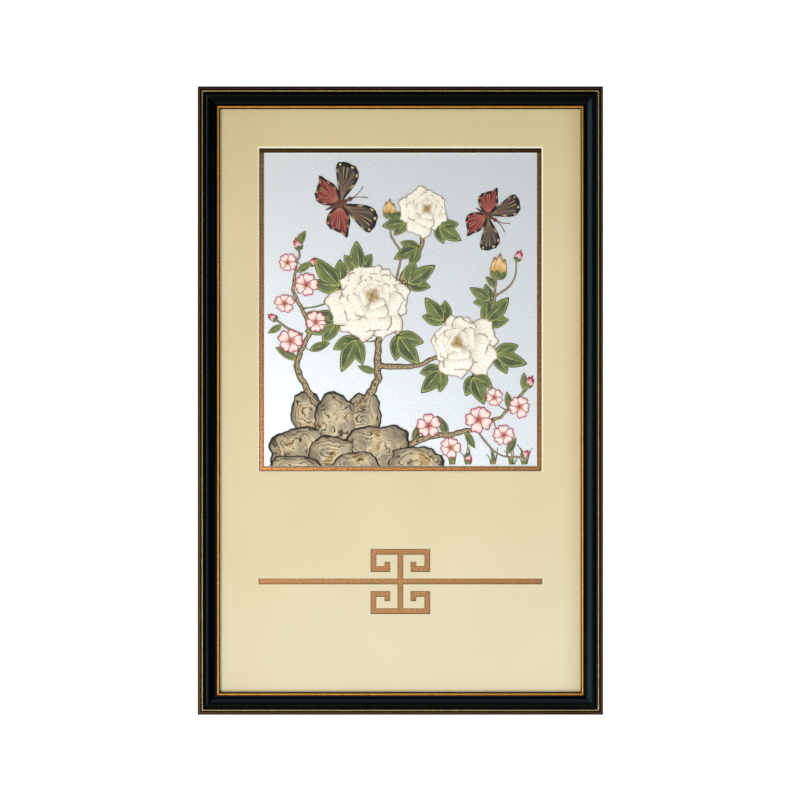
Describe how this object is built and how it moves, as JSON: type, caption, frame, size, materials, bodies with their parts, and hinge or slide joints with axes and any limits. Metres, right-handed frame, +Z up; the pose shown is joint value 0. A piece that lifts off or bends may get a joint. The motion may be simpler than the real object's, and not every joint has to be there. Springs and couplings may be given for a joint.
{
  "type": "framed silver relief art",
  "caption": "Tall black and gold frame with a cream window mat, bronze inner mat and fretwork cut-out over an embossed, painted silver flower picture, made to hang on a wall.",
  "frame": {"origin": "middle of the rear face of the sawtooth hanger, on the back of the top rail, where the wall holds the picture", "axes": "+Z up, +X to the viewer's right seen from the front, +Y towards the wall; the picture faces -Y"},
  "size_m": [0.405, 0.0265, 0.628],
  "materials": {
    "black_lacquer": "glossy black lacquer with gilt lines",
    "cream_board": "matt",
    "bronze_board": "flecked metallic",
    "silver": "satin silver, embossed and painted",
    "backing_board": "matt fibreboard",
    "steel": "zinc plated"
  },
  "bodies": {
    "root": {"frame_rail_top": "black_lacquer", "frame_rail_right": "black_lacquer", "frame_rail_bottom": "black_lacquer", "frame_rail_left": "black_lacquer", "mat_board": "cream_board", "bronze_under_mat": "bronze_board", "silver_relief": "silver", "backing_board": "backing_board", "retaining_point_top_1": "steel", "retaining_point_top_2": "steel", "retaining_point_right_1": "steel", "retaining_point_right_2": "steel", "retaining_point_right_3": "steel", "retaining_point_bottom_1": "steel", "retaining_point_bottom_2": "steel", "retaining_point_left_1": "steel", "retaining_point_left_2": "steel", "retaining_point_left_3": "steel", "sawtooth_hanger": "steel", "hanger_screw_left": "steel", "hanger_screw_right": "steel"}
  },
  "joints": []
}
